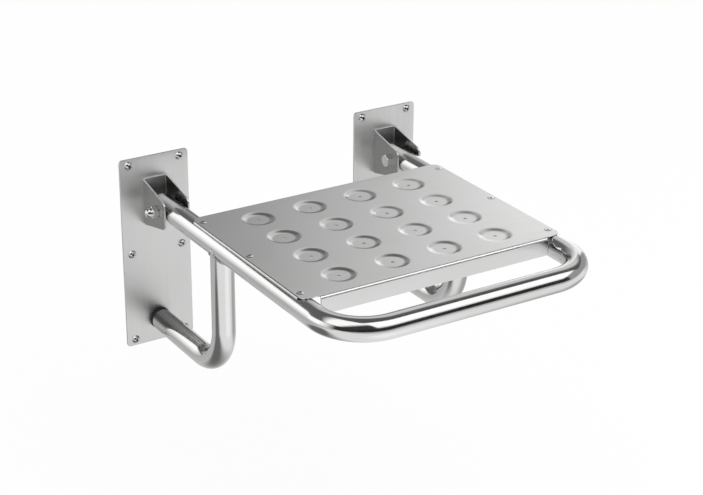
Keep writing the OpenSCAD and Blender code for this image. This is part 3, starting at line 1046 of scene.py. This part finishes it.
def ramp_along(tree, axis, shades):
    """A shade graded along one axis. shades are (place, shade) pairs in metres."""
    split = add_node(tree, "ShaderNodeSeparateXYZ")
    tree.links.new(where_on(tree), split.inputs["Vector"])
    start, end = shades[0][0], shades[-1][0]
    ramp = add_node(tree, "ShaderNodeValToRGB")
    while len(ramp.color_ramp.elements) < len(shades):
        ramp.color_ramp.elements.new(0.5)
    brightest = max(shade for spot, shade in shades)
    for stop, (spot, shade) in zip(ramp.color_ramp.elements, shades):
        stop.position = (spot - start) / (end - start)
        level = shade / brightest
        stop.color = (level, level, level, 1)
    tree.links.new(graded(tree, split.outputs[axis], start, end, 0, 1), ramp.inputs["Fac"])
    scaled = add_node(tree, "ShaderNodeMath", operation="MULTIPLY")
    scaled.inputs[1].default_value = brightest
    tree.links.new(ramp.outputs["Color"], scaled.inputs[0])
    return scaled.outputs["Value"]


def add_pool(tree, value, centre, reach, shade, soft=0.5):
    """Fades a value into another shade inside an ellipse with a soft edge."""
    mapping = add_node(tree, "ShaderNodeMapping", vector_type="TEXTURE")
    mapping.inputs["Location"].default_value = centre
    mapping.inputs["Scale"].default_value = reach
    tree.links.new(where_on(tree), mapping.inputs["Vector"])
    far = add_node(tree, "ShaderNodeVectorMath", operation="LENGTH")
    tree.links.new(mapping.outputs["Vector"], far.inputs[0])
    inside = graded(tree, far.outputs["Value"], 1 - soft, 1 + soft, 1, 0, "SMOOTHSTEP")
    mix = add_node(tree, "ShaderNodeMix", data_type="FLOAT")
    mix.inputs["B"].default_value = shade
    tree.links.new(inside, mix.inputs["Factor"])
    tree.links.new(value, mix.inputs["A"])
    return mix.outputs["Result"]


def bare_material(name):
    """A material with nothing but its output."""
    material = bpy.data.materials.new(name)
    material.use_nodes = True
    material.node_tree.nodes.clear()
    out = add_node(material.node_tree, "ShaderNodeOutputMaterial")
    return material, material.node_tree, out.inputs["Surface"]


def glow_of(tree, value):
    glow = add_node(tree, "ShaderNodeEmission", Color=WHITE)
    tree.links.new(value, glow.inputs["Strength"])
    return glow.outputs[0]


# %% Room
room_lit = 0.95
room_in_metal = 0.4
world = bpy.data.worlds.new("white_room")
world.use_nodes = True
room = world.node_tree
room.nodes.clear()
room_out = add_node(room, "ShaderNodeOutputWorld")
room_light = add_node(room, "ShaderNodeBackground", Color=WHITE)
room_path = add_node(room, "ShaderNodeLightPath")
room_mirrored = add_node(room, "ShaderNodeMix", data_type="FLOAT")
room_mirrored.inputs["A"].default_value = room_lit
room_mirrored.inputs["B"].default_value = room_in_metal
room.links.new(room_path.outputs["Is Glossy Ray"], room_mirrored.inputs["Factor"])
room_seen = mixed(room, room_mirrored.outputs["Result"], room_path.outputs["Is Camera Ray"],
                  "MAXIMUM")
room.links.new(room_seen, room_light.inputs["Strength"])
room.links.new(room_light.outputs[0], room_out.inputs["Surface"])
bpy.context.scene.world = world
print("room: 1 to the camera,", room_in_metal, "to the metal,", room_lit, "elsewhere")

# %% Floor
seat_height = 0.48
floor_colour = (0.9, 0.9, 0.9, 1)
floor_glow = 0.9
floor_z = top_z - seat_height
clear()
bpy.ops.mesh.primitive_plane_add(size=30, location=(0, 0, floor_z))
floor = bpy.context.object
floor.name = "floor"
apply_place(floor)
floor_material, tree, floor_surface = bare_material("pale_floor")
floor_paint = add_node(tree, "ShaderNodeBsdfDiffuse", Roughness=1.0, Color=floor_colour)
floor_white = add_node(tree, "ShaderNodeEmission", Color=WHITE)
floor_seen = add_node(tree, "ShaderNodeMixShader", Fac=floor_glow)
tree.links.new(floor_paint.outputs[0], floor_seen.inputs[1])
tree.links.new(floor_white.outputs[0], floor_seen.inputs[2])
# For the metal the floor glows in painted light and shade. It is brightest in front of the
# seat, with painted shade left of and under it, painted shade to its right, and a painted
# pool of light further in front.
shade = ramp_along(tree, "Y", [(-3, 0.55), (-1.7, 1.0), (-0.4, 1.0), (0.3, 0.6), (2, 0.5)])
shade = add_pool(tree, shade, (-0.7, -0.15, floor_z), (0.62, 0.28, 1), 0.18, soft=0.4)
shade = add_pool(tree, shade, (0.62, -0.3, floor_z), (0.35, 0.35, 1), 0.5)
shade = add_pool(tree, shade, (0, -1.0, floor_z), (0.3, 0.3, 1), 1.2)
path = add_node(tree, "ShaderNodeLightPath")
direct = add_node(tree, "ShaderNodeMixShader")
tree.links.new(path.outputs["Is Camera Ray"], direct.inputs["Fac"])
tree.links.new(floor_paint.outputs[0], direct.inputs[1])
tree.links.new(floor_seen.outputs[0], direct.inputs[2])
mirrored = add_node(tree, "ShaderNodeMixShader")
tree.links.new(path.outputs["Is Glossy Ray"], mirrored.inputs["Fac"])
tree.links.new(direct.outputs[0], mirrored.inputs[1])
tree.links.new(glow_of(tree, shade), mirrored.inputs[2])
tree.links.new(mirrored.outputs[0], floor_surface)
floor.data.materials.append(floor_material)
print("floor at", round(floor_z, 3), "m")

# %% Helpers that build boards and lamps
def board(name, low, high, axis, shades, pools=()):
    """A flat board between two corners, seen only in the metal. It glows in a shade
    graded along an axis."""
    clear()
    low, high = Vector(low), Vector(high)
    size = high - low
    flat = min(range(3), key=lambda side: size[side])
    turn = [(0, math.radians(90), 0), (math.radians(90), 0, 0), (0, 0, 0)][flat]
    bpy.ops.mesh.primitive_plane_add(size=1, location=(0, 0, 0), rotation=turn)
    sheet = bpy.context.object
    sheet.name = name
    apply_place(sheet)
    sheet.location = (low + high) / 2
    sheet.scale = [side if side > 0 else 1 for side in size]
    apply_place(sheet)
    material, tree, surface = bare_material(name)
    shade = ramp_along(tree, axis, shades)
    for pool in pools:
        shade = add_pool(tree, shade, *pool)
    tree.links.new(glow_of(tree, shade), surface)
    sheet.data.materials.append(material)
    sheet.visible_camera = False
    sheet.visible_shadow = False
    sheet.visible_diffuse = False
    print(name, "from", [round(v, 2) for v in low], "to", [round(v, 2) for v in high])


def lamp(name, place, aim, width, tall, glow):
    """An area lamp turned towards a point. Neither the camera nor the metal sees it."""
    clear()
    bpy.ops.object.light_add(type="AREA", location=place)
    box = bpy.context.object
    box.name = name
    box.data.shape = "RECTANGLE"
    box.data.size = width
    box.data.size_y = tall
    box.data.energy = glow * math.pi * width * tall
    way = Vector(place) - Vector(aim)
    box.rotation_euler = way.to_track_quat("Z", "Y").to_euler()
    box.visible_camera = False
    box.visible_glossy = False
    print(name, "power", round(box.data.energy, 2), "W")


# %% [markdown]
# Each list of pairs below gives a shade at a place along the board's axis, in metres. A
# pool has a centre, a reach along each axis, a shade and how soft its edge is.

# %% Boards behind and beside the seat
backdrop_y = 1.5
roof_z = 1.3
room_left = -2.2
room_right = 3
room_front = -2.9
room_top = 2.4
window_right = -0.75
window_top = 1.14
window_frame_top = 1.32
board("backdrop", (window_right, backdrop_y, floor_z), (room_right, backdrop_y, room_top),
      "X", [(window_right, 0.14), (-0.1, 0.16), (0.35, 0.30), (0.7, 0.42), (1.0, 0.62),
            (1.3, 0.80), (1.7, 1.2)],
      [((0.95, backdrop_y, 0.38), (0.4, 1, 0.24), 0.1, 0.6),
       ((1.65, backdrop_y, -0.05), (0.55, 1, 0.55), 1.6, 0.35)])
board("window", (room_left, backdrop_y, floor_z), (window_right, backdrop_y, window_top),
      "Z", [(floor_z, 0.7), (-0.1, 0.88), (0.25, 1.2), (0.6, 1.45), (window_top, 1.45)])
board("window_frame", (room_left, backdrop_y, window_top),
      (window_right, backdrop_y, window_frame_top),
      "Z", [(window_top, 0.08), (window_frame_top, 0.08)])
board("window_side", (room_left, -0.9, floor_z), (room_left, backdrop_y, window_top),
      "Y", [(-0.9, 0.05), (-0.3, 1.0), (0.3, 1.45), (backdrop_y, 1.45)],
      [((room_left, 0.3, floor_z), (1, 2.5, 0.45), 0.7, 0.5)])

# %% Boards over and before the seat
roof_split = -0.72
bright_left = -0.3
apart = 0.01
board("dark_roof", (room_left, roof_split, roof_z), (room_right, backdrop_y, roof_z),
      "Y", [(roof_split, 0.1), (0.1, 0.13), (backdrop_y, 0.16)],
      [((1.25, 0.85, roof_z), (0.9, 0.85, 1), 0.78, 0.3)])
board("bright_roof", (bright_left, room_front, roof_z), (1.9, roof_split, roof_z),
      "Y", [(room_front, 0.6), (-2.5, 0.95), (-1.9, 1.48), (roof_split, 1.48)])
board("left_roof", (room_left, -1.3, roof_z - apart), (bright_left, 0.25, roof_z - apart),
      "Y", [(-1.3, 0.05), (-0.85, 1.4), (-0.15, 1.4), (0.25, 0.1)])
board("dark_front_side", (room_left, room_front, 0), (room_left, -0.9, roof_z),
      "Z", [(0, 0.04), (room_top, 0.04)])
board("dark_front", (-room_right, room_front, 0), (room_right, room_front, room_top),
      "Z", [(0, 0.03), (room_top, 0.03)])
board("dark_front_left", (-room_right, room_front, roof_z + apart),
      (bright_left, roof_split, roof_z + apart),
      "Y", [(room_front, 0.05), (roof_split, 0.05)])

# %% Lamps
lamp("lamp_window", (-1.4, backdrop_y, 0.6), aim=(-0.1, -0.3, 0), width=1.2, tall=1.2,
     glow=0.7)
lamp("lamp_roof", (0.4, -1.5, roof_z), aim=(0, -0.3, 0), width=1.6, tall=1.6, glow=1.2)
